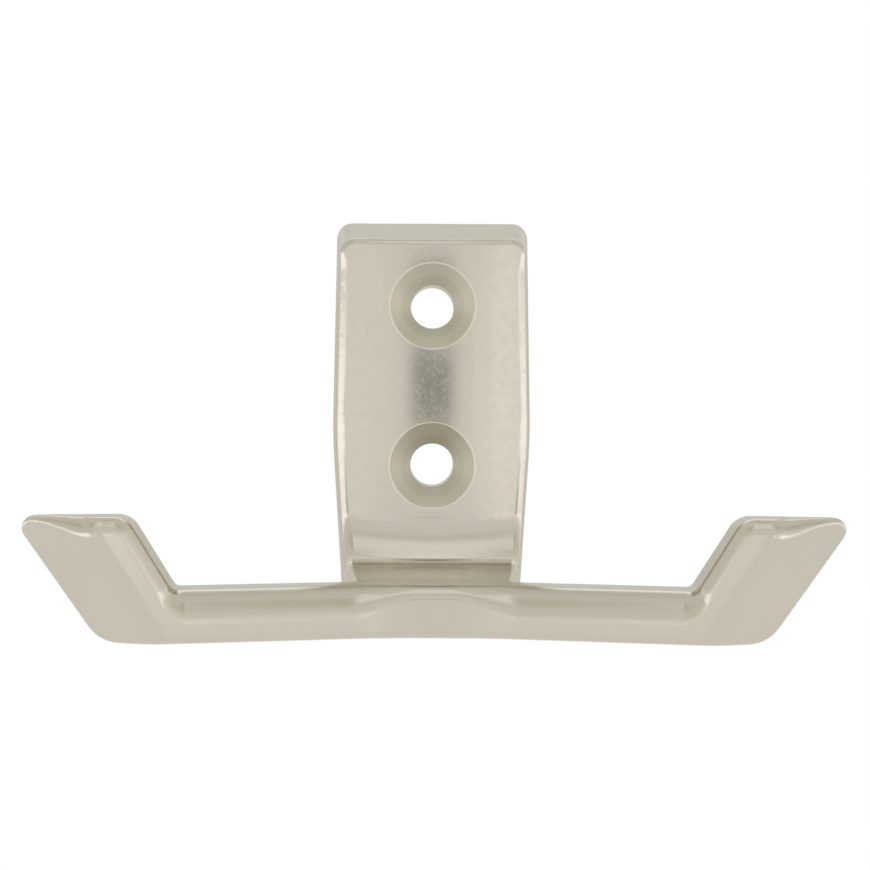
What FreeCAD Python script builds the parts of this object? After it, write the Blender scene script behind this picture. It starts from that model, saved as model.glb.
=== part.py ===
"""Double robe hook, cast in one piece.

A drafted wall plate with two countersunk screw holes, a neck that bends forward out of its
lower end, and a cross bar with two swept wings that end in upturned prongs.

Millimetres and degrees. +Z is up, +X is to the right of a person facing the wall, and the
hook stands out from the wall towards -Y. The origin lies on the wall face, midway between
the screw holes. A depth is a distance out from the wall, so y is minus the depth.
"""
import FreeCAD, Part
import math
import os

from FreeCAD import Vector

# Screw holes
hole_spacing = 17.0
screw_hole_diameter = 4.7
countersink_diameter = 9.2
countersink_angle = 120.0
rim_round = 0.15

# Wall plate
plate_depth = 8.5
plate_width = 21.8
plate_top_margin = 9.45
plate_widest_drop = 5.5
plate_upper_lean = 1.1
plate_lower_lean = 3.6
plate_corner_radius = 1.7
plate_side_blend = 60.0
plate_crown_radius = 60.0
side_draft = 4.5
top_draft = 16.5

# Neck
bend_land = 0.82
bend_radius = 5.8
ramp_slope = 42.0
ramp_drop = 2.22
ramp_blend = 2.0
arm_slope = 3.0

# Cross bar and wings
bar_reach = 31.0
bar_height = 5.05
bar_thickness = 6.3
wing_sweep = 15.5
valley_radius = 23.5
valley_flat = 3.4
neck_blend = 1.0

# Prongs
prong_foot_spread = 49.2
prong_foot_width = 10.35
prong_height = 6.95
prong_inner_lean = 30.6
prong_outer_lean = 34.5
toe_radius = 3.6
tip_radius = 1.25
crest_radius = 2.2
crotch_radius = 0.9
ridge_offset = 4.2
ridge_lean = 27.9
ridge_bevel = 41.5
ridge_radius_top = 2.0
ridge_radius_low = 4.0

# Rounding of the front edges, named by where along the outline it holds
valley_round = 1.3
shoulder_round = 3.2
crotch_round = 1.75
crest_round = 1.75
ridge_round = 1.6
tip_round = 0.5
front_round = 0.7

# Rounding of the plate's front edges, of the prongs' back edges above the bend and of all other edges
plate_side_round = 1.2
plate_top_round = 0.7
prong_back_round = 1.2
edge_round = 0.8

# How far a cutting shape runs past what it cuts, how near a point counts as found, and the
# least angle in degrees at which two faces meet in an edge
overrun = 5.0
nearness = 0.5
least_turn = 6.0


def tangent(degrees):
    return math.tan(math.radians(degrees))


def cosine(degrees):
    return math.cos(math.radians(degrees))


def sine(degrees):
    return math.sin(math.radians(degrees))


# The wings' plan: two straight faces that would meet at vee_front, with a flat middle at bar_reach
bar_depth = bar_thickness / cosine(wing_sweep)
valley_run = valley_radius * tangent(wing_sweep / 2)
valley_corner = valley_flat / 2 + valley_run
valley_x = valley_corner + valley_run * cosine(wing_sweep)
vee_front = bar_reach - valley_corner * tangent(wing_sweep)
vee_back = vee_front - bar_depth

# Heights, from the screw holes down
plate_top = hole_spacing / 2 + plate_top_margin
bend_reach = bend_radius * tangent((90 - ramp_slope) / 2)
bend_corner = -(hole_spacing + countersink_diameter) / 2 - bend_land - bend_reach
ramp_end = plate_depth + ramp_drop / tangent(ramp_slope)
bar_top = bend_corner - ramp_drop - (vee_back - ramp_end) * tangent(arm_slope)
bar_bottom = bar_top - bar_height
prong_top = bar_top + prong_height

# Prong outline, half of it
foot_x = prong_foot_spread / 2
crest_x = foot_x + prong_height * tangent(prong_inner_lean)
outer_x = foot_x + prong_foot_width
tip_x = outer_x + prong_height * tangent(prong_outer_lean)
toe_x = outer_x - bar_height * tangent(prong_outer_lean)


def in_plan(x, depth):
    return Vector(x, -depth, 0)


def in_front(x, z):
    return Vector(x, 0, z)


def in_side(depth, z):
    return Vector(0, -depth, z)


def rounded_face(corners, place):
    """Flat face with corners (u, v, radius), each rounded by a tangent arc; place puts u, v in space."""
    points = [Vector(u, v, 0) for u, v, radius in corners]
    stops = []
    for i, (u, v, radius) in enumerate(corners):
        back = (points[i - 1] - points[i]).normalize()
        ahead = (points[(i + 1) % len(points)] - points[i]).normalize()
        half_angle = back.getAngle(ahead) / 2
        run = radius / math.tan(half_angle)
        middle = points[i] + (back + ahead).normalize() * (radius / math.sin(half_angle) - radius)
        stops.append((points[i] + back * run, middle, points[i] + ahead * run))
    edges = []
    for i, (start, middle, end) in enumerate(stops):
        if corners[i][2] > 0:
            edges.append(Part.Arc(*[place(p.x, p.y) for p in (start, middle, end)]).toShape())
        following = stops[(i + 1) % len(stops)][0]
        edges.append(Part.LineSegment(place(end.x, end.y), place(following.x, following.y)).toShape())
    return Part.Face(Part.Wire(edges))


def middle_of(edge):
    return edge.valueAt((edge.FirstParameter + edge.LastParameter) / 2)


def edges_where(shape, test):
    """Edges whose middle point (x, depth, z) passes a test."""
    found = []
    for edge in shape.Edges:
        middle = middle_of(edge)
        if test(middle.x, -middle.y, middle.z):
            found.append(edge)
    return found


def edges_near(shape, point):
    """Edges whose middle point lies at a point."""
    return [edge for edge in shape.Edges if middle_of(edge).distanceToPoint(point) < nearness]


def normal_at(face, point):
    u, v = face.Surface.parameter(point)
    return face.normalAt(u, v)


def sharp_edges(shape):
    """Edges off the wall where two faces meet at an angle."""
    found = []
    for edge in edges_where(shape, lambda x, depth, z: depth > edge_round / 2):
        faces = shape.ancestorsOfType(edge, Part.Face)
        if len(faces) == 2:
            middle = middle_of(edge)
            turn = normal_at(faces[0], middle).getAngle(normal_at(faces[1], middle))
            if math.degrees(turn) > least_turn:
                found.append(edge)
    return found


def across(side_face):
    """A side view face pushed both ways along X, past the plate's sides."""
    side_face.translate(Vector(-plate_width, 0, 0))
    return side_face.extrude(Vector(2 * plate_width, 0, 0))


def wing_front_depth(x):
    return vee_front + abs(x) * tangent(wing_sweep)


def ridge_x(z):
    return foot_x + ridge_offset + (z - bar_top) * tangent(ridge_lean)


def drafted_block():
    """Side view of the plate and neck, between side walls that draw in away from the wall.

    Each wall is the plate's outline pushed out along its own draft; the top wall slopes more.
    """
    widest = -plate_widest_drop
    high = plate_top + overrun
    low = bar_bottom - overrun
    half = plate_width / 2
    outline = rounded_face([
        (-plate_width, low, 0),
        (half - (widest - low) * tangent(plate_lower_lean), low, 0),
        (half, widest, plate_side_blend),
        (half - (high - widest) * tangent(plate_upper_lean), high, 0),
        (-plate_width, high, 0),
    ], in_front)
    right = outline.extrude(Vector(-bar_reach * tangent(side_draft), -bar_reach, 0))
    left = right.mirror(Vector(0, 0, 0), Vector(1, 0, 0))

    side_view = across(rounded_face([
        (0, bar_bottom, 0),
        (bar_reach, bar_bottom, 0),
        (bar_reach, plate_top - bar_reach * tangent(top_draft), 0),
        (0, plate_top, 0),
    ], in_side))
    block = right.common(left).common(side_view)
    return block.makeFillet(plate_corner_radius, edges_where(
        block, lambda x, depth, z: 0 < depth < bar_reach and z > 0 and abs(x) > half / 2))


def neck_and_plate():
    """The crowned plate and the bent neck, with their front edges still sharp."""
    reach_x = plate_width
    crown_edge = plate_depth - plate_crown_radius + math.sqrt(plate_crown_radius ** 2 - reach_x ** 2)
    crown = Part.Arc(in_plan(reach_x, crown_edge), in_plan(0, plate_depth), in_plan(-reach_x, crown_edge))
    behind = Part.makePolygon([
        in_plan(-reach_x, crown_edge),
        in_plan(-reach_x, -overrun),
        in_plan(reach_x, -overrun),
        in_plan(reach_x, crown_edge),
    ])
    plate = Part.Face(Part.Wire([crown.toShape()] + behind.Edges))
    plate.translate(Vector(0, 0, bar_bottom))
    plate = plate.extrude(Vector(0, 0, plate_top + overrun - bar_bottom))

    neck_end = vee_front - bar_depth / 3
    neck = across(rounded_face([
        (0, bar_bottom - overrun, 0),
        (neck_end, bar_bottom - overrun, 0),
        (neck_end, bar_top, 0),
        (vee_back, bar_top, 0),
        (ramp_end, bend_corner - ramp_drop, ramp_blend),
        (0, bend_corner + plate_depth * tangent(ramp_slope), 0),
    ], in_side))

    body = drafted_block().common(plate.fuse(neck)).removeSplitter()
    bend = edges_near(body, Vector(0, -plate_depth, bend_corner))
    return body.makeFillet(bend_radius, bend)


def bevel_cutter():
    """Block that cuts the leaning bevel off the outer end of the right wing."""
    forward = Vector(-sine(wing_sweep), -cosine(wing_sweep), 0)
    foot = Vector(ridge_x(bar_top), -wing_front_depth(ridge_x(bar_top)), bar_top)
    top = Vector(ridge_x(prong_top), -wing_front_depth(ridge_x(prong_top)), prong_top)
    along = (top - foot).normalize()
    outward = along.cross(forward).normalize()
    down_bevel = outward * cosine(ridge_bevel) - forward * sine(ridge_bevel)
    off_bevel = forward * cosine(ridge_bevel) + outward * sine(ridge_bevel)
    size = bar_reach
    low = foot - along * size
    high = top + along * size
    base = Part.Face(Part.makePolygon([low, high, high + down_bevel * size, low + down_bevel * size, low]))
    return base.extrude(off_bevel * size)


def right_wing():
    """The right half of the cross bar with its prong, its outer end bevelled to a soft ridge."""
    outline = rounded_face([
        (0, bar_bottom, 0),
        (toe_x, bar_bottom, toe_radius),
        (tip_x, prong_top, tip_radius),
        (crest_x, prong_top, crest_radius),
        (foot_x, bar_top, crotch_radius),
        (0, bar_top, 0),
    ], in_front)
    far = wing_front_depth(tip_x) + overrun
    outline = outline.extrude(Vector(0, -far, 0))

    span = tip_x + overrun
    front_end = wing_front_depth(span)
    band = rounded_face([
        (span, front_end, 0),
        (valley_corner, bar_reach, valley_radius),
        (-valley_corner, bar_reach, valley_radius),
        (-span, front_end, 0),
        (-span, front_end - bar_depth, 0),
        (0, vee_back, 0),
        (span, front_end - bar_depth, 0),
    ], in_plan)
    band.translate(Vector(0, 0, bar_bottom - overrun))
    band = band.extrude(Vector(0, 0, prong_top - bar_bottom + 2 * overrun))

    wing = outline.common(band).cut(bevel_cutter())
    middle_z = (prong_top + bar_bottom) / 2
    middle_x = ridge_x(middle_z)
    ridge = edges_near(wing, Vector(middle_x, -wing_front_depth(middle_x), middle_z))
    radii = [ridge_radius_low, ridge_radius_top]
    if ridge[0].valueAt(ridge[0].FirstParameter).z > middle_z:
        radii.reverse()
    return wing.makeFillet(*radii, ridge)


def front_rounding(point):
    """Rounding of the right wing's front edge at a point: that of the nearest named place on the outline."""
    if point.z < (bar_top + bar_bottom) / 2:
        return front_round
    places = [
        (0, bar_top, valley_round),
        (valley_flat / 2, bar_top, valley_round),
        (valley_x, bar_top, shoulder_round),
        (foot_x, bar_top, crotch_round),
        (crest_x, prong_top, crest_round),
        (ridge_x(prong_top), prong_top, ridge_round),
        (tip_x - tip_radius, prong_top, tip_round),
        (tip_x, prong_top - tip_radius, front_round),
    ]
    nearest = min(places, key=lambda place: math.hypot(point.x - place[0], point.z - place[1]))
    return nearest[2]


def edge_rounding(point):
    """Rounding of the joined body's edge at a point: plate front and prong tops have their own."""
    corner_z = plate_top - plate_depth * tangent(top_draft) - plate_corner_radius / 2
    if point.z < bend_corner + bend_reach or -point.y < plate_depth * 3 / 4:
        return edge_round
    if -point.y > ramp_end:
        return prong_back_round
    return plate_top_round if point.z > corner_z else plate_side_round


def rounded(shape, edges, rounding):
    """The shape with some of its edges rounded; rounding gives the radius at each end of an edge."""
    rounding_list = []
    for number, edge in enumerate(shape.Edges, 1):
        if any(edge.isSame(other) for other in edges):
            start = edge.valueAt(edge.FirstParameter)
            end = edge.valueAt(edge.LastParameter)
            rounding_list.append((number, rounding(start), rounding(end)))
    document = FreeCAD.newDocument("rounding")
    plain = document.addObject("Part::Feature", "plain")
    plain.Shape = shape
    fillet = document.addObject("Part::Fillet", "fillet")
    fillet.Base = plain
    fillet.Edges = rounding_list
    document.recompute()
    return fillet.Shape.copy()


def wings():
    """The cross bar with both prongs, the edges round its front face and end bevels rounded."""
    wing = right_wing()
    fronts = []
    for edge in sharp_edges(wing):
        middle = middle_of(edge)
        ahead_of_back = -middle.y - wing_front_depth(middle.x) + bar_depth
        if ahead_of_back > front_round / 2 and middle.x > front_round / 2:
            fronts.append(edge)
    right = rounded(wing, fronts, front_rounding)
    left = right.mirror(Vector(0, 0, 0), Vector(1, 0, 0))
    return right.fuse(left).removeSplitter()


def screw_hole(z):
    """Straight hole through the plate, with its countersink opening at the crowned front."""
    hole_radius = screw_hole_diameter / 2
    rim_radius = countersink_diameter / 2
    flare = tangent(countersink_angle / 2)
    sink_depth = (rim_radius - hole_radius) / flare
    outward = Vector(0, -1, 0)
    bore = Part.makeCylinder(hole_radius, plate_depth + 2 * overrun, Vector(0, overrun, z), outward)
    floor = Vector(0, -(plate_depth - sink_depth), z)
    sink_height = sink_depth + bend_land / 2
    sink = Part.makeCone(hole_radius, hole_radius + sink_height * flare, sink_height, floor, outward)
    return bore.fuse(sink)


def hook_body():
    """The whole casting: plate, neck and wings joined, rounded and drilled."""
    body = neck_and_plate().fuse(wings()).removeSplitter()
    neck_corners = edges_where(body, lambda x, depth, z: (
        bar_bottom + bar_height / 4 < z < bar_top - bar_height / 4
        and plate_depth < depth < wing_front_depth(x) - bar_depth / 2
        and abs(x) < plate_width / 2))
    body = body.makeFillet(neck_blend, neck_corners)
    body = rounded(body, sharp_edges(body), edge_rounding)
    for z in (hole_spacing / 2, -hole_spacing / 2):
        body = body.cut(screw_hole(z))
        rim = edges_where(body, lambda x, depth, edge_z: (
            depth > plate_depth - countersink_diameter / 8
            and abs(math.hypot(x, edge_z - z) - countersink_diameter / 2) < countersink_diameter / 8))
        body = body.makeFillet(rim_round, rim)
    return body


os.makedirs("parts", exist_ok=True)
hook = hook_body()
hook.exportStep("parts/hook_body.step")
print("valid:", hook.isValid(), "solids:", len(hook.Solids), "volume in mm3:", round(hook.Volume, 2))
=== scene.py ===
import math
from collections import namedtuple

import bpy
import numpy as np
from bpy.props import FloatProperty
from bpy.props import FloatVectorProperty
from bpy.props import PointerProperty
from mathutils import Matrix
from mathutils import Vector


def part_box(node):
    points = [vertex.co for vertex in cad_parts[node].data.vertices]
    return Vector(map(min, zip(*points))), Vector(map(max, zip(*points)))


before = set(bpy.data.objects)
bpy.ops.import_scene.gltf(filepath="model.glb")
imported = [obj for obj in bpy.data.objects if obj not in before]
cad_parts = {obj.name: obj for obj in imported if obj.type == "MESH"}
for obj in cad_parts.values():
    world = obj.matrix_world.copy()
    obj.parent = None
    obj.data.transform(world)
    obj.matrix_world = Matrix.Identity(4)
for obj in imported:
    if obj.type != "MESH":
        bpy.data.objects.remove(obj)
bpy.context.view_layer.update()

bl_info = {
    "name": "Double Robe Hook",
    "version": (1, 0, 0),
    "blender": (4, 5, 0),
    "location": "3D View > Sidebar > Robe Hook",
    "description": "Gives a cast double robe hook its satin nickel finish and stands it in a white studio",
    "category": "Object",
}

BODY_NODE = "hook_body"
HOOK_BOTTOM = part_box(BODY_NODE)[0].z
WHITE = (1.0, 1.0, 1.0, 1.0)

# Camera: width of the picture in pixels, width of the film in millimetres, nearest distance in metres
PICTURE_WIDTH = 870
FILM_WIDTH = 36.0
NEAREST = 0.01

# Noise: octaves of the patterns of tone and of relief, and the levels that it mostly keeps between
TONE_DETAIL = 3.0
RELIEF_DETAIL = 2.0
NOISE_LOW = 0.3
NOISE_HIGH = 0.7

# Facets of the floor and of each card
FLOOR_RINGS = 24
FLOOR_SPOKES = 96
CARD_COLUMNS = 48
CARD_ROWS = 24

# A card's ranges are in degrees, azimuth 0 in front and growing to the right. Its distance is in metres,
# a fade is the share of the range over which an edge fades out, and colour 1 is as bright as the backdrop.
Card = namedtuple("Card", "azimuths elevations distance side_fade low_fade high_fade colour")
CARDS = {
    "lens_card": Card((-5.6, 6.8), (-1.7, 2.8), 0.52, 0.14, 0.20, 0.30, (0.36, 0.36, 0.35, 1.0)),
    "left_glow": Card((-27.0, -9.0), (-10.0, 14.0), 0.54, 0.35, 0.30, 0.50, (1.08, 1.08, 1.08, 1.0)),
    "right_glow": Card((11.5, 23.5), (-10.0, 14.0), 0.54, 0.40, 0.30, 0.50, (1.29, 1.285, 1.27, 1.0)),
    "left_strip": Card((-116.0, -29.0), (-12.0, 6.0), 0.56, 0.20, 0.40, 0.20, (1.62, 1.62, 1.68, 1.0)),
    "right_strip": Card((29.0, 116.0), (-11.0, 7.0), 0.56, 0.22, 0.40, 0.30, (1.57, 1.57, 1.63, 1.0)),
    "sky": Card((-30.0, 30.0), (48.0, 94.0), 0.58, 0.45, 0.20, 0.12, (1.06, 1.06, 1.05, 1.0)),
    "left_core": Card((-66.0, -22.0), (30.0, 74.0), 0.60, 0.30, 0.35, 0.35, (0.66, 0.675, 0.59, 1.0)),
    "right_core": Card((22.0, 66.0), (30.0, 74.0), 0.60, 0.30, 0.35, 0.35, (0.66, 0.675, 0.59, 1.0)),
    "brow_line": Card((-22.0, 22.0), (30.0, 48.0), 0.61, 0.25, 0.40, 0.40, (0.76, 0.77, 0.74, 1.0)),
    "left_shade": Card((-150.0, -16.0), (0.0, 98.0), 0.62, 0.12, 0.15, 0.10, (0.79, 0.80, 0.755, 1.0)),
    "right_shade": Card((16.0, 150.0), (8.0, 98.0), 0.62, 0.12, 0.28, 0.10, (0.79, 0.80, 0.755, 1.0)),
    "brow_shade": Card((-34.0, 34.0), (4.0, 52.0), 0.64, 0.25, 0.15, 0.12, (0.88, 0.88, 0.885, 1.0)),
    "back_line": Card((140.0, 220.0), (35.0, 58.0), 0.60, 0.20, 0.30, 0.35, (1.30, 1.31, 1.27, 1.0)),
    "back_brow": Card((130.0, 230.0), (14.0, 98.0), 0.64, 0.20, 0.15, 0.10, (0.72, 0.73, 0.69, 1.0)),
    "back_shade": Card((122.0, 238.0), (-46.0, 34.0), 0.66, 0.25, 0.30, 0.40, (0.66, 0.64, 0.57, 1.0)),
}


class FinishSettings(bpy.types.PropertyGroup):
    """Colour and grain of the plated finish, with painted shade, a painted reflection and painted
    highlights.
    """

    nickel_colour: FloatVectorProperty(
        name="Nickel",
        description="Reflection colour of the satin nickel plating",
        subtype="COLOR",
        size=4,
        min=0.0,
        max=1.0,
        default=(0.612, 0.568, 0.486, 1.0),
    )
    warm_colour: FloatVectorProperty(
        name="Warm nickel",
        description="Slightly deeper plating tone that clouds the nickel",
        subtype="COLOR",
        size=4,
        min=0.0,
        max=1.0,
        default=(0.592, 0.548, 0.464, 1.0),
    )
    cloud_size: FloatProperty(
        name="Cloud size",
        description="Width of the soft clouds in the plating's tone",
        unit="LENGTH",
        default=0.006,
    )
    satin_low: FloatProperty(
        name="Least roughness",
        description="Roughness where the satin finish is most burnished",
        subtype="FACTOR",
        default=0.16,
    )
    satin_high: FloatProperty(
        name="Most roughness",
        description="Roughness where the satin finish is dullest",
        subtype="FACTOR",
        default=0.22,
    )
    blotch_size: FloatProperty(
        name="Blotch size",
        description="Width of the shallow hollows left by tumbling the casting",
        unit="LENGTH",
        default=0.0009,
    )
    blotch_depth: FloatProperty(
        name="Blotch depth",
        description="Depth of the shallow hollows",
        unit="LENGTH",
        default=0.000003,
    )
    grain_size: FloatProperty(
        name="Grain size",
        description="Width of the fine satin grain",
        unit="LENGTH",
        default=0.00026,
    )
    grain_depth: FloatProperty(
        name="Grain depth",
        description="Depth of the fine satin grain",
        unit="LENGTH",
        default=0.0000024,
    )
    # Painted shade: the countersinks' colour is darkened to stand in for the shade in these recesses.
    sink_painted_shade: FloatVectorProperty(
        name="Countersink",
        description="Reflection colour of the thinner plating in the countersinks",
        subtype="COLOR",
        size=4,
        min=0.0,
        max=1.0,
        default=(0.54, 0.508, 0.41, 1.0),
    )
    sink_roughness: FloatProperty(
        name="Countersink roughness",
        description="Roughness of the turned countersinks",
        subtype="FACTOR",
        default=0.5,
    )
    # Edge of the painted shade in the countersinks; the painted rim highlight lies outside it.
    sink_radius: FloatProperty(
        name="Countersink radius",
        description="Radius of the countersinks' duller part, inside their burnished rim",
        unit="LENGTH",
        default=0.0045,
    )
    sink_floor: FloatProperty(
        name="Countersink floor",
        description="Depth out from the wall where the countersinks end",
        unit="LENGTH",
        default=0.0062,
    )
    hole_offset: FloatProperty(
        name="Hole offset",
        description="Height of the upper screw hole over the origin",
        unit="LENGTH",
        default=0.0085,
    )
    # The painted shade is deeper inside this radius than in the countersinks' outer ring.
    ring_radius: FloatProperty(
        name="Ring radius",
        description="Radius of the faint step in the countersinks",
        unit="LENGTH",
        default=0.0034,
    )
    # Painted shade in the countersinks' outer ring, lighter than inside the faint step.
    ring_painted_shade: FloatVectorProperty(
        name="Outer ring",
        description="Reflection colour of the countersinks outside the faint step",
        subtype="COLOR",
        size=4,
        min=0.0,
        max=1.0,
        default=(0.585, 0.548, 0.448, 1.0),
    )
    # Painted highlight: a lighter ring round each countersink stands in for the glint on its rounded rim.
    rim_painted_highlight: FloatVectorProperty(
        name="Rim",
        description="Reflection colour of the burnished rim round the countersinks",
        subtype="COLOR",
        size=4,
        min=0.0,
        max=1.0,
        default=(0.69, 0.645, 0.56, 1.0),
    )
    # Inner and outer radius of the painted rim highlight.
    rim_inner: FloatProperty(
        name="Rim inner radius",
        description="Radius at which the burnished rim starts",
        unit="LENGTH",
        default=0.00446,
    )
    rim_outer: FloatProperty(
        name="Rim outer radius",
        description="Radius at which the burnished rim ends",
        unit="LENGTH",
        default=0.00472,
    )
    soft_edge: FloatProperty(
        name="Soft edge",
        description="Width over which the countersinks' tone runs into the plate's",
        unit="LENGTH",
        default=0.0001,
    )
    # Painted reflection: a dark, speckled strip up the plate's middle deepens the camera's dark reflection
    # there.
    strip_painted_reflection: FloatVectorProperty(
        name="Strip",
        description="Reflection colour of the duller strip up the plate's middle",
        subtype="COLOR",
        size=4,
        min=0.0,
        max=1.0,
        default=(0.36, 0.336, 0.28, 1.0),
    )
    # Width, height and specks of the painted reflection strip.
    strip_inner: FloatProperty(
        name="Strip core",
        description="Half width of the strip's darkest part",
        unit="LENGTH",
        default=0.0008,
    )
    strip_outer: FloatProperty(
        name="Strip reach",
        description="Half width of the strip where it has faded out",
        unit="LENGTH",
        default=0.0034,
    )
    strip_top: FloatProperty(
        name="Strip top",
        description="Height where the strip has faded out over the upper hole",
        unit="LENGTH",
        default=0.0156,
    )
    strip_fade: FloatProperty(
        name="Strip fade",
        description="Height over which the strip fades out over the upper hole",
        unit="LENGTH",
        default=0.0045,
    )
    speck_size: FloatProperty(
        name="Speck size",
        description="Width of the specks in the strip",
        unit="LENGTH",
        default=0.0003,
    )
    speck_low: FloatProperty(
        name="Speck start",
        description="Level of the noise where a light speck is brightest",
        subtype="FACTOR",
        default=0.36,
    )
    speck_high: FloatProperty(
        name="Speck end",
        description="Level of the noise where a light speck ends",
        subtype="FACTOR",
        default=0.56,
    )
    speck_share: FloatProperty(
        name="Speck tone",
        description="Share of the strip's tone left in its light specks",
        subtype="FACTOR",
        default=0.62,
    )
    # Painted light: a brighter colour in the crease between the ramp and the arm lifts the dark reflections
    # that gather there.
    crease_painted_light: FloatVectorProperty(
        name="Crease",
        description="Reflection colour of the brighter plating in the crease between the ramp and the arm",
        subtype="COLOR",
        size=4,
        min=0.0,
        max=1.0,
        default=(0.77, 0.73, 0.64, 1.0),
    )
    # Place and reach of the painted light in the crease.
    crease_depth: FloatProperty(
        name="Crease depth",
        description="Depth of the crease out from the wall",
        unit="LENGTH",
        default=0.0117,
    )
    crease_drop: FloatProperty(
        name="Crease drop",
        description="Height of the crease below the origin",
        unit="LENGTH",
        default=0.0188,
    )
    crease_reach: FloatProperty(
        name="Crease reach",
        description="Distance from the crease where the brighter plating has faded out",
        unit="LENGTH",
        default=0.0024,
    )
    crease_core: FloatProperty(
        name="Crease core",
        description="Distance from the crease within which the plating is brightest",
        unit="LENGTH",
        default=0.0008,
    )
    crease_half: FloatProperty(
        name="Crease half width",
        description="How far the crease runs to each side of the neck's middle",
        unit="LENGTH",
        default=0.0094,
    )


class StageSettings(bpy.types.PropertyGroup):
    """Floor, lamps and camera round the hook."""

    floor_drop: FloatProperty(
        name="Floor drop",
        description="Height of the hook's lowest point over the floor",
        unit="LENGTH",
        default=0.11,
    )
    floor_radius: FloatProperty(
        name="Floor radius",
        description="Radius of the round floor",
        unit="LENGTH",
        default=1.6,
    )
    floor_fade_start: FloatProperty(
        name="Fade start",
        description="Distance from the hook where the floor starts to fade into white",
        unit="LENGTH",
        default=0.13,
    )
    floor_fade_end: FloatProperty(
        name="Fade end",
        description="Distance from the hook where the floor is as white as the backdrop",
        unit="LENGTH",
        default=0.34,
    )
    floor_colour: FloatVectorProperty(
        name="Floor",
        description="Colour of the pale floor",
        subtype="COLOR",
        size=4,
        min=0.0,
        max=1.0,
        default=(0.9, 0.9, 0.9, 1.0),
    )
    floor_mirrored: FloatProperty(
        name="Mirrored floor",
        description="Brightness of the far floor as the plating mirrors it, where the backdrop is 1",
        default=0.95,
    )
    fill_strength: FloatProperty(
        name="Fill",
        description="Strength of the even white light from all round",
        default=0.75,
    )
    lamp_brightness: FloatProperty(
        name="Lamps",
        description="Brightness of the two soft lamps, where the white backdrop is 1",
        default=1.5,
    )
    lamp_width: FloatProperty(
        name="Lamp width",
        description="Width and height of each soft lamp",
        unit="LENGTH",
        default=0.36,
    )
    lamp_distance: FloatProperty(
        name="Lamp distance",
        description="Distance of each soft lamp from the hook",
        unit="LENGTH",
        default=0.55,
    )
    lamp_azimuth: FloatProperty(
        name="Lamp azimuth",
        description="Angle of each soft lamp to the side of straight in front",
        subtype="ANGLE",
        default=math.radians(40.0),
    )
    lamp_elevation: FloatProperty(
        name="Lamp elevation",
        description="Angle of each soft lamp over the horizon",
        subtype="ANGLE",
        default=math.radians(50.0),
    )
    camera_place: FloatVectorProperty(
        name="Camera",
        description="Place of the camera in the hook's own frame",
        subtype="TRANSLATION",
        unit="LENGTH",
        default=(-0.002347, -0.230, -0.0017),
    )
    camera_yaw: FloatProperty(
        name="Yaw",
        description="Turn of the camera to the right of straight at the wall",
        subtype="ANGLE",
        default=math.radians(0.681),
    )
    camera_pitch: FloatProperty(
        name="Pitch",
        description="Tilt of the camera below the horizon",
        subtype="ANGLE",
        default=math.radians(0.910),
    )
    camera_roll: FloatProperty(
        name="Roll",
        description="Clockwise lean of the hook in the picture",
        subtype="ANGLE",
        default=math.radians(0.226),
    )
    focal_pixels: FloatProperty(
        name="Focal length",
        description="Focal length of the camera in pixels of the square picture",
        default=2081.5,
    )


def node_in(tree, kind, **values):
    """One node of that kind, with the named attributes set."""
    node = tree.nodes.new(kind)
    for name, value in values.items():
        setattr(node, name, value)
    return node


def noise(tree, place, width, detail):
    """Noise whose cells are about one width across, read on Object coordinates."""
    texture = node_in(tree, "ShaderNodeTexNoise")
    texture.inputs["Scale"].default_value = 1.0 / width
    texture.inputs["Detail"].default_value = detail
    tree.links.new(place, texture.inputs["Vector"])
    return texture.outputs["Fac"]


def bump(tree, height, depth, under=None):
    """Bump from a height field that is depth metres tall, on top of another bump."""
    node = node_in(tree, "ShaderNodeBump")
    node.inputs["Strength"].default_value = 1.0
    node.inputs["Distance"].default_value = depth
    tree.links.new(height, node.inputs["Height"])
    if under is not None:
        tree.links.new(under, node.inputs["Normal"])
    return node.outputs["Normal"]


def ramp(tree, value, start, end):
    """Smooth ramp from 0 where the value is start to 1 where it is end."""
    node = node_in(tree, "ShaderNodeMapRange", interpolation_type="SMOOTHSTEP")
    node.inputs["From Min"].default_value = start
    node.inputs["From Max"].default_value = end
    tree.links.new(value, node.inputs["Value"])
    return node.outputs["Result"]


def joined(tree, operation, first, second):
    """One value made from two by that operation."""
    node = node_in(tree, "ShaderNodeMath", operation=operation)
    tree.links.new(first, node.inputs[0])
    tree.links.new(second, node.inputs[1])
    return node.outputs["Value"]


def product(tree, first, second):
    """The product of two values."""
    return joined(tree, "MULTIPLY", first, second)


def larger(tree, first, second):
    """The larger of two values."""
    return joined(tree, "MAXIMUM", first, second)


def away_from(tree, parts, axes, point):
    """Distance from a point, measured along the named axes only."""
    flat = node_in(tree, "ShaderNodeCombineXYZ")
    for axis in axes:
        tree.links.new(parts.outputs[axis], flat.inputs[axis])
    distance = node_in(tree, "ShaderNodeVectorMath", operation="DISTANCE")
    distance.inputs[1].default_value = point
    tree.links.new(flat.outputs["Vector"], distance.inputs[0])
    return distance.outputs["Value"]


def mixed(tree, below, above, share):
    """A colour between two others, each a socket or a fixed colour, by a share from 0 to 1."""
    node = node_in(tree, "ShaderNodeMix", data_type="RGBA")
    tree.links.new(share, node.inputs["Factor"])
    for name, colour in (("A", below), ("B", above)):
        if isinstance(colour, bpy.types.NodeSocket):
            tree.links.new(colour, node.inputs[name])
        else:
            node.inputs[name].default_value = colour
    return node.outputs["Result"]


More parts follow.
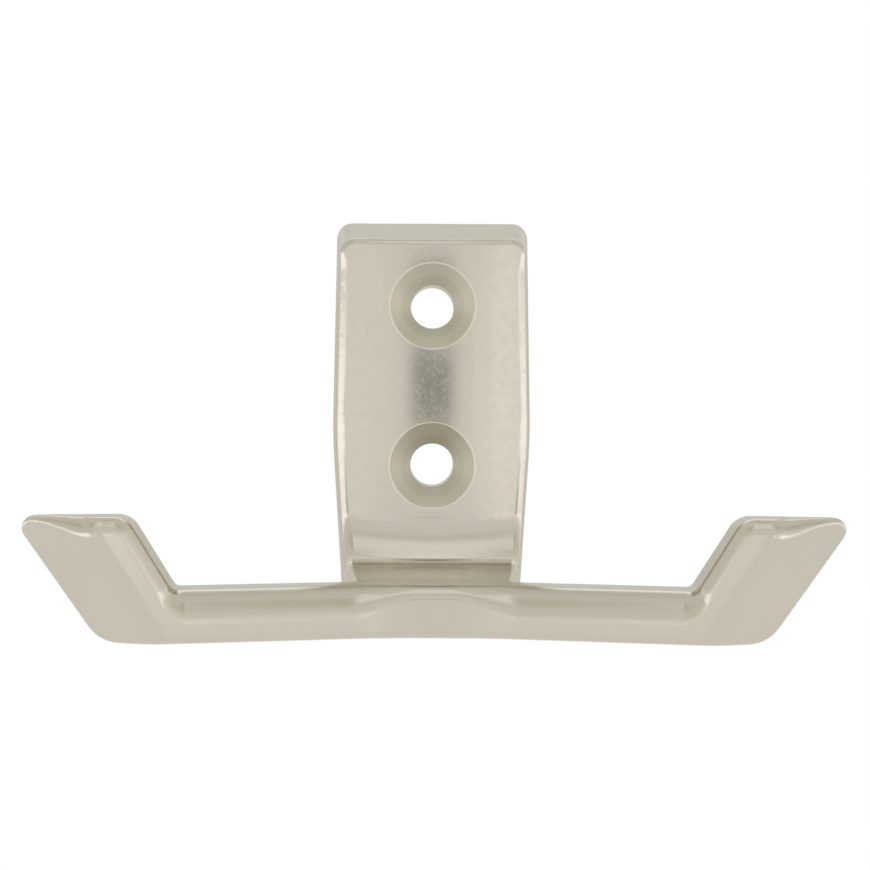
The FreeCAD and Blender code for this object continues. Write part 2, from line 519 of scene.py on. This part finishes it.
def blended(tree, first, second, share):
    """A shader between two others, by a share from 0 to 1."""
    node = node_in(tree, "ShaderNodeMixShader")
    tree.links.new(share, node.inputs["Fac"])
    tree.links.new(first, node.inputs[1])
    tree.links.new(second, node.inputs[2])
    return node.outputs["Shader"]


def on_plate(tree, place, finish):
    """Distances from the origin along X, Y and Z, and 1 in front of the countersinks' floor."""
    mirrored = node_in(tree, "ShaderNodeVectorMath", operation="ABSOLUTE")
    tree.links.new(place, mirrored.inputs[0])
    parts = node_in(tree, "ShaderNodeSeparateXYZ")
    tree.links.new(mirrored.outputs["Vector"], parts.inputs["Vector"])
    ahead = ramp(tree, parts.outputs["Y"], finish.sink_floor - finish.soft_edge, finish.sink_floor)
    return parts, ahead


def in_countersink(tree, parts, ahead, finish):
    """Three shares from 0 to 1, for the painted shade, the roughness and the painted rim highlight: inside
    the countersinks, inside their faint step and on their rim.
    """
    radius = away_from(tree, parts, "XZ", (0.0, 0.0, finish.hole_offset))
    near = ramp(tree, radius, finish.sink_radius, finish.sink_radius - finish.soft_edge)
    ring = ramp(tree, radius, finish.ring_radius, finish.ring_radius - finish.soft_edge)
    rim = product(
        tree,
        ramp(tree, radius, finish.rim_inner, finish.rim_inner + finish.soft_edge),
        ramp(tree, radius, finish.rim_outer, finish.rim_outer - finish.soft_edge),
    )
    return product(tree, near, ahead), ring, product(tree, rim, ahead)


def in_crease_light(tree, parts, finish):
    """Share of the painted light in the crease: falls off with the distance from the crease, a line along
    X.
    """
    off_line = away_from(tree, parts, "YZ", (0.0, finish.crease_depth, finish.crease_drop))
    near = ramp(tree, off_line, finish.crease_reach, finish.crease_core)
    within = ramp(tree, parts.outputs["X"], finish.crease_half, finish.crease_half - finish.crease_core)
    return product(tree, near, within)


def in_painted_reflection_strip(tree, place, parts, ahead, finish):
    """Share of the speckled strip of painted dark reflection up the plate's middle: between the holes and
    over the top one.
    """
    height = node_in(tree, "ShaderNodeSeparateXYZ")
    tree.links.new(place, height.inputs["Vector"])
    up = height.outputs["Z"]
    inside = ramp(tree, parts.outputs["X"], finish.strip_outer, finish.strip_inner)
    between = ramp(tree, parts.outputs["Z"], finish.hole_offset - finish.strip_inner, finish.strip_inner)
    over = product(
        tree,
        ramp(tree, up, finish.hole_offset, finish.hole_offset + finish.soft_edge),
        ramp(tree, up, finish.strip_top, finish.strip_top - finish.strip_fade),
    )
    grain = noise(tree, place, finish.speck_size, TONE_DETAIL)
    specks = ramp(tree, grain, finish.speck_low, finish.speck_high)
    specks.node.inputs["To Min"].default_value = finish.speck_share
    strip = product(tree, product(tree, inside, larger(tree, between, over)), ahead)
    return product(tree, strip, specks)


def satin_nickel(finish):
    """Satin nickel plating, clouded and unevenly polished, with tumbling hollows and a fine grain.

    The countersinks are rougher and darkened with painted shade, a strip up the plate carries a painted
    dark reflection, and painted highlights brighten the countersinks' rims and the crease.
    """
    material = bpy.data.materials.new("satin_nickel_plating")
    material.use_nodes = True
    tree = material.node_tree
    shader = tree.nodes["Principled BSDF"]
    shader.inputs["Metallic"].default_value = 1.0
    place = node_in(tree, "ShaderNodeTexCoord").outputs["Object"]

    clouds = noise(tree, place, finish.cloud_size, TONE_DETAIL)
    parts, ahead = on_plate(tree, place, finish)
    sunk, ring, rim = in_countersink(tree, parts, ahead, finish)
    tone = mixed(tree, finish.nickel_colour, finish.warm_colour, clouds)
    # Painted reflection: a dark, speckled strip up the plate's middle.
    reflection_painted = mixed(tree, tone, finish.strip_painted_reflection, in_painted_reflection_strip(tree, place, parts, ahead, finish))
    # Painted shade in the countersinks, deeper inside the faint step.
    turned = mixed(tree, finish.ring_painted_shade, finish.sink_painted_shade, ring)
    sinks_shaded = mixed(tree, reflection_painted, turned, sunk)
    # Painted highlight on the countersinks' rims.
    rim_highlighted = mixed(tree, sinks_shaded, finish.rim_painted_highlight, rim)
    # Painted light in the crease between the ramp and the arm.
    crease_lit = mixed(tree, rim_highlighted, finish.crease_painted_light, in_crease_light(tree, parts, finish))
    tree.links.new(crease_lit, shader.inputs["Base Color"])

    blotches = noise(tree, place, finish.blotch_size, RELIEF_DETAIL)
    grain = noise(tree, place, finish.grain_size, RELIEF_DETAIL)
    polish = node_in(tree, "ShaderNodeMapRange")
    polish.inputs["From Min"].default_value = NOISE_LOW
    polish.inputs["From Max"].default_value = NOISE_HIGH
    polish.inputs["To Min"].default_value = finish.satin_low
    polish.inputs["To Max"].default_value = finish.satin_high
    tree.links.new(blotches, polish.inputs["Value"])
    dulled = node_in(tree, "ShaderNodeMapRange")
    dulled.inputs["To Max"].default_value = finish.sink_roughness
    tree.links.new(sunk, dulled.inputs["Value"])
    tree.links.new(polish.outputs["Result"], dulled.inputs["To Min"])
    tree.links.new(dulled.outputs["Result"], shader.inputs["Roughness"])

    hollows = bump(tree, blotches, finish.blotch_depth)
    surface = bump(tree, grain, finish.grain_depth, hollows)
    tree.links.new(surface, shader.inputs["Normal"])
    return material


class HOOK_OT_finish(bpy.types.Operator):
    """Plate the hook's body in satin nickel"""

    bl_idname = "robe_hook.finish"
    bl_label = "Plate the Hook"

    def execute(self, context):
        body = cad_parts.get(BODY_NODE)
        if body is None:
            raise RuntimeError("the packed model has no hook body")
        plating = satin_nickel(context.scene.robe_hook_finish)
        for slot in body.material_slots:
            slot.material = plating
        return {"FINISHED"}


def seen_directly(tree):
    """1 for camera, glossy and transmission rays, 0 for the rays that only carry light."""
    path = node_in(tree, "ShaderNodeLightPath")
    either = larger(tree, path.outputs["Is Camera Ray"], path.outputs["Is Glossy Ray"])
    return larger(tree, either, path.outputs["Is Transmission Ray"])


def white_world(stage):
    """Even white light all round, seen as plain white."""
    world = bpy.data.worlds.new("white_studio")
    bpy.context.scene.world = world
    world.use_nodes = True
    tree = world.node_tree
    tree.nodes.clear()
    fill = node_in(tree, "ShaderNodeBackground")
    fill.inputs["Strength"].default_value = stage.fill_strength
    fill.inputs["Color"].default_value = WHITE
    backdrop = node_in(tree, "ShaderNodeBackground")
    backdrop.inputs["Strength"].default_value = 1.0
    backdrop.inputs["Color"].default_value = WHITE
    light = blended(tree, fill.outputs["Background"], backdrop.outputs["Background"], seen_directly(tree))
    output = node_in(tree, "ShaderNodeOutputWorld")
    tree.links.new(light, output.inputs["Surface"])


def disc_mesh(name, radius, rings, spokes):
    """Flat round disc: point (r, a) lies at (radius r cos a, radius r sin a, 0)."""
    reach = np.linspace(0.0, 1.0, rings + 1)[1:]
    angle = np.linspace(0.0, 2.0 * math.pi, spokes, endpoint=False)
    across = np.outer(reach, np.cos(angle)) * radius
    along = np.outer(reach, np.sin(angle)) * radius
    rim = np.stack([across, along, np.zeros_like(across)], axis=-1).reshape(-1, 3)
    points = np.vstack([np.zeros((1, 3)), rim])
    ring, spoke = np.meshgrid(np.arange(rings - 1), np.arange(spokes), indexing="ij")
    after = (spoke + 1) % spokes
    inner = 1 + ring * spokes
    outer = inner + spokes
    quads = np.stack([inner + spoke, outer + spoke, outer + after, inner + after], axis=-1)
    first = np.arange(spokes)
    fan = np.stack([np.zeros_like(first), 1 + first, 1 + (first + 1) % spokes], axis=-1)
    mesh = bpy.data.meshes.new(name)
    mesh.from_pydata(points.tolist(), [], fan.tolist() + quads.reshape(-1, 4).tolist())
    return mesh


def stage_object(name, mesh, material):
    """A stage object with that mesh and material, linked into the scene."""
    item = bpy.data.objects.new(name, mesh)
    mesh.materials.append(material)
    bpy.context.scene.collection.objects.link(item)
    return item


def pale_floor(stage):
    """Matt pale floor whose rim fades into the white backdrop."""
    material = bpy.data.materials.new("pale_floor")
    material.use_nodes = True
    tree = material.node_tree
    tree.nodes.clear()
    matt = node_in(tree, "ShaderNodeBsdfDiffuse")
    matt.inputs["Color"].default_value = stage.floor_colour
    white = node_in(tree, "ShaderNodeEmission")
    path = node_in(tree, "ShaderNodeLightPath")
    level = node_in(tree, "ShaderNodeMapRange")
    level.inputs["To Min"].default_value = stage.floor_mirrored
    level.inputs["To Max"].default_value = 1.0
    tree.links.new(path.outputs["Is Camera Ray"], level.inputs["Value"])
    tree.links.new(level.outputs["Result"], white.inputs["Strength"])
    place = node_in(tree, "ShaderNodeTexCoord").outputs["Object"]
    distance = node_in(tree, "ShaderNodeVectorMath", operation="LENGTH")
    tree.links.new(place, distance.inputs[0])
    fade = ramp(tree, distance.outputs["Value"], stage.floor_fade_start, stage.floor_fade_end)
    faded = product(tree, fade, path.outputs["Is Camera Ray"])
    share = larger(tree, faded, path.outputs["Is Glossy Ray"])
    surface = blended(tree, matt.outputs["BSDF"], white.outputs["Emission"], share)
    output = node_in(tree, "ShaderNodeOutputMaterial")
    tree.links.new(surface, output.inputs["Surface"])
    return material


def floor(stage):
    """Round floor below the hook."""
    mesh = disc_mesh("floor", stage.floor_radius, FLOOR_RINGS, FLOOR_SPOKES)
    item = stage_object("floor", mesh, pale_floor(stage))
    item.location.z = HOOK_BOTTOM - stage.floor_drop


def soft_lamp(name, azimuth, stage):
    """Square soft lamp that faces the hook; azimuth 0 is in front and grows to the right."""
    data = bpy.data.lights.new(name, "AREA")
    data.shape = "SQUARE"
    data.size = stage.lamp_width
    data.energy = math.pi * stage.lamp_width ** 2 * stage.lamp_brightness
    lamp = bpy.data.objects.new(name, data)
    elevation = stage.lamp_elevation
    way = Vector((
        math.sin(azimuth) * math.cos(elevation),
        -math.cos(azimuth) * math.cos(elevation),
        math.sin(elevation),
    ))
    lamp.location = way * stage.lamp_distance
    lamp.rotation_mode = "QUATERNION"
    lamp.rotation_quaternion = (-way).to_track_quat("-Z", "Y")
    lamp.visible_camera = False
    lamp.visible_glossy = False
    bpy.context.scene.collection.objects.link(lamp)


def camera_turn(stage):
    """Turn of the camera: its right, up and back axes as the columns of a matrix."""
    yaw = stage.camera_yaw
    pitch = stage.camera_pitch
    ahead = Vector((
        math.sin(yaw) * math.cos(pitch),
        math.cos(yaw) * math.cos(pitch),
        -math.sin(pitch),
    ))
    right = Vector((math.cos(yaw), -math.sin(yaw), 0.0))
    up = right.cross(ahead)
    level = Matrix((right, up, -ahead)).transposed()
    return level @ Matrix.Rotation(stage.camera_roll, 3, "Z")


def camera(stage):
    """Camera straight in front of the hook, at the picture's viewing angle."""
    data = bpy.data.cameras.new("camera")
    data.sensor_fit = "HORIZONTAL"
    data.sensor_width = FILM_WIDTH
    data.lens = data.sensor_width * stage.focal_pixels / PICTURE_WIDTH
    data.clip_start = NEAREST
    item = bpy.data.objects.new("camera", data)
    item.location = stage.camera_place
    item.rotation_mode = "QUATERNION"
    item.rotation_quaternion = camera_turn(stage).to_quaternion()
    bpy.context.scene.collection.objects.link(item)
    bpy.context.scene.camera = item


def glow(name, settings):
    """Plain light of one colour that fades out towards the card's edges."""
    material = bpy.data.materials.new(name)
    material.use_nodes = True
    tree = material.node_tree
    tree.nodes.clear()
    light = node_in(tree, "ShaderNodeEmission")
    light.inputs["Color"].default_value = settings.colour
    clear = node_in(tree, "ShaderNodeBsdfTransparent")
    place = node_in(tree, "ShaderNodeTexCoord").outputs["UV"]
    parts = node_in(tree, "ShaderNodeSeparateXYZ")
    tree.links.new(place, parts.inputs["Vector"])
    left = ramp(tree, parts.outputs["X"], 0.0, settings.side_fade)
    right = ramp(tree, parts.outputs["X"], 1.0, 1.0 - settings.side_fade)
    low = ramp(tree, parts.outputs["Y"], 0.0, settings.low_fade)
    high = ramp(tree, parts.outputs["Y"], 1.0, 1.0 - settings.high_fade)
    share = product(tree, product(tree, left, right), product(tree, low, high))
    surface = blended(tree, clear.outputs["BSDF"], light.outputs["Emission"], share)
    output = node_in(tree, "ShaderNodeOutputMaterial")
    tree.links.new(surface, output.inputs["Surface"])
    return material


def dome_mesh(name, azimuths, elevations, radius):
    """Piece of a dome: point (a, e) lies at radius (sin a cos e, -cos a cos e, sin e)."""
    columns = np.linspace(0.0, 1.0, CARD_COLUMNS + 1)
    rows = np.linspace(0.0, 1.0, CARD_ROWS + 1)
    across, up = np.meshgrid(columns, rows, indexing="ij")
    azimuth = azimuths[0] + (azimuths[1] - azimuths[0]) * across
    elevation = elevations[0] + (elevations[1] - elevations[0]) * up
    points = radius * np.stack([
        np.sin(azimuth) * np.cos(elevation),
        -np.cos(azimuth) * np.cos(elevation),
        np.sin(elevation),
    ], axis=-1)
    index = np.arange(across.size).reshape(across.shape)
    quads = np.stack([index[:-1, :-1], index[1:, :-1], index[1:, 1:], index[:-1, 1:]], axis=-1)
    quads = quads.reshape(-1, 4)
    mesh = bpy.data.meshes.new(name)
    mesh.from_pydata(points.reshape(-1, 3).tolist(), [], quads.tolist())
    layer = mesh.uv_layers.new(name="UVMap")
    spots = np.stack([across, up], axis=-1).reshape(-1, 2)
    layer.data.foreach_set("uv", spots[quads.reshape(-1)].astype(np.float32).ravel())
    return mesh


def card(name, settings):
    """Card of plain light, seen only in the plating."""
    azimuths = np.radians(settings.azimuths)
    elevations = np.radians(settings.elevations)
    mesh = dome_mesh(name, azimuths, elevations, settings.distance)
    item = stage_object(name, mesh, glow(name, settings))
    item.visible_camera = False
    item.visible_diffuse = False
    item.visible_shadow = False


class HOOK_OT_stage(bpy.types.Operator):
    """Set the floor, the white backdrop, the lamps and the camera round the hook"""

    bl_idname = "robe_hook.stage"
    bl_label = "Set the Stage"

    def execute(self, context):
        stage = context.scene.robe_hook_stage
        context.scene.view_settings.view_transform = "Standard"
        white_world(stage)
        floor(stage)
        for name, settings in CARDS.items():
            card(name, settings)
        soft_lamp("left_lamp", -stage.lamp_azimuth, stage)
        soft_lamp("right_lamp", stage.lamp_azimuth, stage)
        camera(stage)
        return {"FINISHED"}


class HOOK_PT_panel(bpy.types.Panel):
    """Steps that dress the hook, in order"""

    bl_idname = "HOOK_PT_panel"
    bl_label = "Robe Hook"
    bl_space_type = "VIEW_3D"
    bl_region_type = "UI"
    bl_category = "Robe Hook"

    def draw(self, context):
        for step in STEPS:
            self.layout.operator(step.bl_idname)


STEPS = (HOOK_OT_finish, HOOK_OT_stage)
CLASSES = (FinishSettings, StageSettings, *STEPS, HOOK_PT_panel)


def register():
    """Add the classes and their settings to Blender."""
    for item in CLASSES:
        bpy.utils.register_class(item)
    bpy.types.Scene.robe_hook_finish = PointerProperty(type=FinishSettings)
    bpy.types.Scene.robe_hook_stage = PointerProperty(type=StageSettings)


def unregister():
    """Take the classes and their settings out of Blender."""
    del bpy.types.Scene.robe_hook_stage
    del bpy.types.Scene.robe_hook_finish
    for item in reversed(CLASSES):
        bpy.utils.unregister_class(item)


def main():
    """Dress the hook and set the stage."""
    register()
    bpy.ops.robe_hook.finish()
    bpy.ops.robe_hook.stage()


if __name__ == "__main__":
    main()
